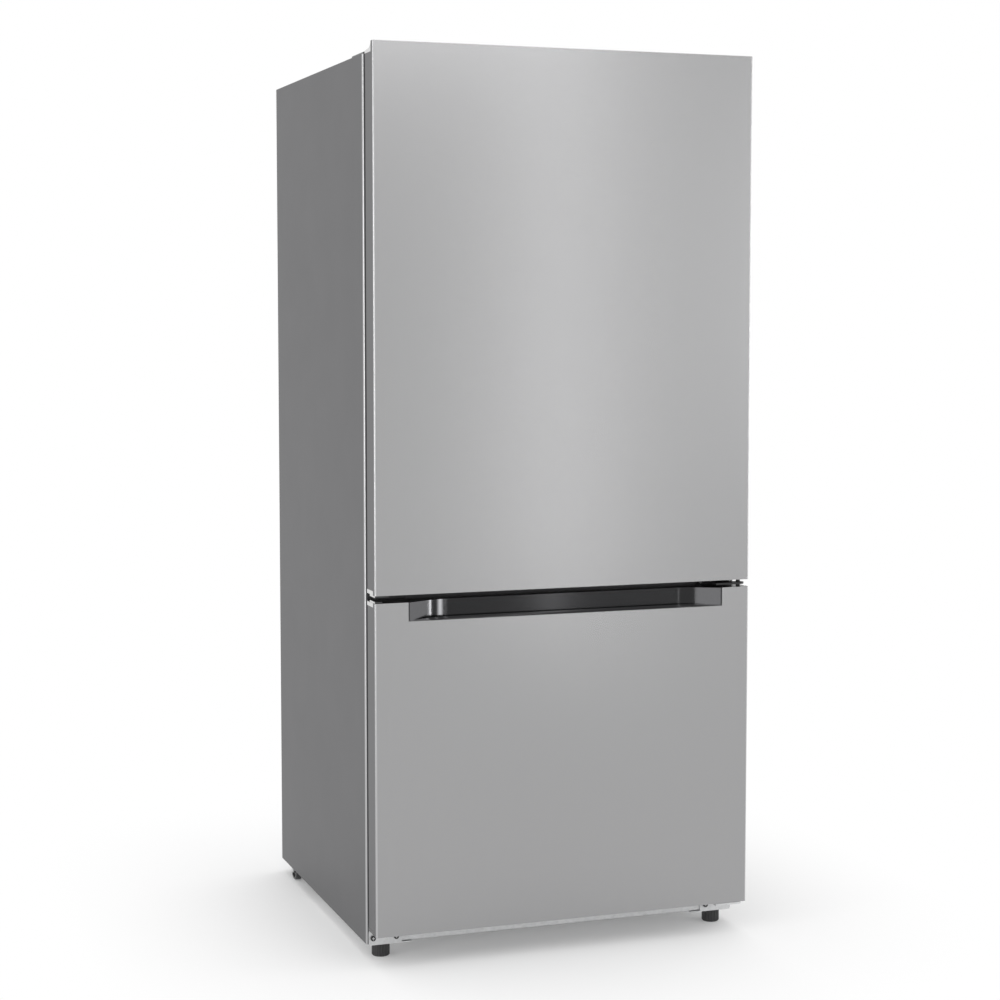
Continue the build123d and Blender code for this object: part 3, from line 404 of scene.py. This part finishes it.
# ------------------------------------------------------------------ small pieces
class Builder:
    """Collects small closed forms into one mesh that rides on a body."""

    def __init__(self):
        self.bm = bmesh.new()

    def loft(self, rings, closed=False):
        """Faces between rings of points, capped at both ends or joined into a loop."""
        rows = [[self.bm.verts.new(p) for p in ring] for ring in rings]
        count = len(rings[0])
        pairs = list(zip(rows, rows[1:])) + ([(rows[-1], rows[0])] if closed else [])
        for low, high in pairs:
            for i in range(count):
                j = (i + 1) % count
                self.bm.faces.new((low[i], low[j], high[j], high[i]))
        if not closed:
            self.bm.faces.new(rows[0][::-1])
            self.bm.faces.new(rows[-1])

    def pad(self, centre, outline, out, steps):
        """A raised pad: an (x, z) outline shrunk step by step as it rises along Y, out being 1 or -1."""
        rings = []
        for shrink, rise in steps:
            rings.append([
                (centre[0] + x * shrink, centre[1] + out * rise, centre[2] + z * shrink)
                for x, z in outline
            ])
        self.loft(rings)

    def done(self, name, material, body):
        """The finished piece, riding on its body."""
        bmesh.ops.recalc_face_normals(self.bm, faces=self.bm.faces)
        mesh = bpy.data.meshes.new(name)
        self.bm.to_mesh(mesh)
        self.bm.free()
        obj = bpy.data.objects.new(name, mesh)
        obj.data.materials.append(materials[material])
        scene.collection.objects.link(obj)
        smooth(obj)
        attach(obj, body)


def circle(radius, count):
    """A circle's outline, or a hexagon's from six points."""
    turns = [math.tau * i / count for i in range(count)]
    return [(radius * math.cos(turn), radius * math.sin(turn)) for turn in turns]


def capsule(length, width, turn):
    """A round-ended bar's outline, turned in its plane."""
    points = []
    for end, first in ((1, -90), (-1, 90)):
        for k in range(9):
            angle = math.radians(first + 22.5 * k)
            x = end * (length - width) / 2 + width / 2 * math.cos(angle)
            z = width / 2 * math.sin(angle)
            points.append((x * math.cos(turn) - z * math.sin(turn),
                           x * math.sin(turn) + z * math.cos(turn)))
    return points


def cross(arm, half):
    """A cross's outline, from a quarter of it turned four times."""
    quarter = [(arm, -half), (arm, half), (half, half)]
    points = []
    for cosine, sine in ((1, 0), (0, 1), (-1, 0), (0, -1)):
        points += [(x * cosine - z * sine, x * sine + z * cosine) for x, z in quarter]
    return points


# Thin crosses that stand for the driver recesses of the hinge and bracket screws at the front.
recesses = Builder()
for x, z in bracket_screws + hinge_screws:
    recesses.pad((x, case_front - screw_head, z), cross(recess_arm, recess_half_width), -1,
                 ((1, -0.0004), (1, 0.00008), (0.9, 0.00010)))
recesses.done("screw_recesses", "silver_plastic", "cabinet")

# Hexagon-headed screws with washers at the machine room cover's corners.
low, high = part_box("machine_cover")
washer_steps = ((1, -0.0003), (1, 0.0008), (0.94, 0.0011))
head_steps = ((1, 0.0010), (1, 0.0034), (0.90, 0.0039), (0.45, 0.0039), (0.38, 0.0032))
cover_screws = Builder()
for x in (low.x + cover_side_inset, high.x - cover_side_inset):
    for z in (low.z + cover_low_inset, high.z - cover_high_inset):
        cover_screws.pad((x, high.y, z), circle(washer_radius, 32), 1, washer_steps)
        cover_screws.pad((x, high.y, z), circle(hexagon_radius, 6), 1, head_steps)
cover_screws.done("cover_screws", "zinc_steel", "cabinet")

# A ring of dial marks on the control box, longer towards the cold end, and the knob's pointer.
low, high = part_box("temperature_knob")
knob_x, knob_z = (low.x + high.x) / 2, (low.z + high.z) / 2
marks = Builder()
for k in range(dial_count):
    angle = math.radians(dial_first - dial_step * k)
    reach = dial_radius + mark_growth / 2 * k
    place = (knob_x + reach * math.cos(angle), dial_face, knob_z + reach * math.sin(angle))
    marks.pad(place, capsule(mark_length + mark_growth * k, mark_width, angle), -1,
              ((1, -0.0002), (1, 0.0002), (0.8, 0.0003)))
marks.done("dial_marks", "grey_plastic", "cabinet")
pointer = Builder()
pointer.pad((knob_x, low.y, knob_z + pointer_out),
            capsule(pointer_length, pointer_width, math.pi / 2), -1,
            ((1, -0.0003), (1, 0.0001), (0.8, 0.0002)))
pointer.done("knob_pointer", "white_plastic", "temperature_knob")


def slot_frame(drawer):
    """A rolled lip round a freezer drawer's finger slot."""
    low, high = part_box(drawer)
    middle = high.z - grip_below_rim
    profile = ((0.0022, 0.0005), (0.0022, -0.0012), (0.0029, -0.0021), (0.0041, -0.0024),
               (0.0053, -0.0021), (0.0061, -0.0010), (0.0062, 0.0005))
    path = []
    for right, up, first in ((1, 1, 0), (-1, 1, 90), (-1, -1, 180), (1, -1, 270)):
        corner = (right * grip_half_length, middle + up * grip_half_height)
        path += [(*corner, math.radians(first + 18 * k)) for k in range(6)]
    rings = []
    for x, z, angle in path:
        rings.append([
            (x + away * math.cos(angle), low.y + out, z + away * math.sin(angle))
            for away, out in profile
        ])
    lip = Builder()
    lip.loft(rings, closed=True)
    lip.done(drawer + "_lip", "white_plastic", drawer)


slot_frame("freezer_drawer_upper")
slot_frame("freezer_drawer_lower")


# ------------------------------------------------------------------ floor and light
def floor_finish():
    """Pale matt floor that brightens to plain white beside the body, and further off in front."""
    t = Tree("floor")
    t.feed(Base_Color=t.colours(t.noise(0.6), (0.86, 0.86, 0.86), (0.88, 0.88, 0.88)))
    t.set(Roughness=0.9)

    def vector(operation, first, second=(0, 0, 0)):
        node = t.add("ShaderNodeVectorMath", {0: first, 1: second}, operation=operation)
        return node.outputs["Value" if operation == "LENGTH" else "Vector"]

    beyond = vector("SUBTRACT", vector("ABSOLUTE", t.position()), cad_high)
    outside = vector("MULTIPLY", vector("MAXIMUM", beyond), (1, 0.6, 1))
    glow = t.add("ShaderNodeEmission", {"Strength": 1.0})
    surface = t.add("ShaderNodeMixShader", {
        0: t.ramp(vector("LENGTH", outside), 0.15, 1, 0, floor_fade),
        1: t.shader.outputs[0],
        2: glow.outputs[0],
    })
    t.link(surface.outputs[0], t.output.inputs["Surface"])
    return t.material


def floor_sheet(half_side):
    mesh = bpy.data.meshes.new("floor")
    bm = bmesh.new()
    bmesh.ops.create_grid(bm, x_segments=1, y_segments=1, size=half_side)
    bm.to_mesh(mesh)
    bm.free()
    obj = bpy.data.objects.new("floor", mesh)
    obj.data.materials.append(floor_finish())
    scene.collection.objects.link(obj)
    return obj


floor = floor_sheet(floor_half_side)

world = bpy.data.worlds.new("studio")
world.use_nodes = True
world.node_tree.nodes["Background"].inputs["Color"].default_value = (1, 1, 1, 1)
world.node_tree.nodes["Background"].inputs["Strength"].default_value = 1.0
scene.world = world
scene.view_settings.view_transform = "Standard"


def area_light(name, location, target, size, power, only=None):
    """A soft box aimed at a target, which may light only one collection's objects."""
    data = bpy.data.lights.new(name, "AREA")
    data.shape = "RECTANGLE"
    data.size, data.size_y = size
    data.energy = power
    light = bpy.data.objects.new(name, data)
    light.location = location
    way = Vector(target) - Vector(location)
    light.rotation_euler = way.to_track_quat("-Z", "Y").to_euler()
    scene.collection.objects.link(light)
    if only is not None:
        light.light_linking.receiver_collection = only
    return light


for studio_light in (
    ("strip", (1.10, -3.3, 1.35), (-0.02, -0.38, 1.25), (0.06, 2.4), 2.8),
    ("edge_strip", (2.2, -2.9, 1.35), (0.35, -0.38, 1.2), (0.08, 1.3), 4.5),
    ("side_strip", (4.1, -2.4, 1.3), (0, -0.38, 0.9), (0.12, 2.0), 9.0),
    ("right_panel", (4.6, -1.6, 1.2), (0.3, -0.38, 0.9), (1.5, 2.0), 26.0),
    ("left_panel", (-4.0, -1.6, 1.1), (-0.37, -0.35, 0.9), (0.8, 2.4), 34.0),
    ("front_panel", (-2.2, -5.4, 1.0), (0.3, -0.38, 0.65), (1.2, 1.2), 11.0),
    ("high_left", (0.32, -3.3, 2.55), (-0.33, -0.38, 1.66), (1.3, 0.8), 5.5),
    ("overhead", (0.2, 1.2, 4.6), (0.1, 0.2, 0), (4.0, 4.0), 44),
):
    area_light(*studio_light)

# Soft boxes that only the glossy handle pocket mirrors, for its two upright highlights.
pocket_only = bpy.data.collections.new("pocket_only")
pocket_only.objects.link(nodes["handle_pocket"])
pocket_left, pocket_right = Vector((-0.29, -0.36, 0.66)), Vector((0.31, -0.36, 0.66))
away, below = 3.0, 0.41
for name, start, degrees, size, spread, power in (
    ("pocket_box", pocket_left, 35, (1.8, 0.4), 16, 0.38),
    ("pocket_strip", pocket_left, 60, (0.24, 0.4), 60, 0.9),
    ("pocket_end_left", pocket_left, 70, (0.8, 0.4), 180, 3.6),
    ("pocket_end_right", pocket_right, -28, (0.8, 0.4), 180, 5.2),
):
    turn = math.radians(degrees)
    place = start + Vector((away * math.sin(turn), -away * math.cos(turn), -below))
    light = area_light(name, place, start, size, power, pocket_only)
    light.data.spread = math.radians(spread)

# ------------------------------------------------------------------ camera
look_down, look_right = math.radians(4.312), math.radians(19.425)
camera_data = bpy.data.cameras.new("camera")
camera_data.lens = 76.05
camera_data.sensor_width = 36
camera_data.shift_y = -0.03
camera = bpy.data.objects.new("camera", camera_data)
camera.location = (-1.4262, -4.044, 1.2091)
camera.rotation_euler = (math.pi / 2 - look_down, 0, -look_right)
scene.collection.objects.link(camera)
scene.camera = camera
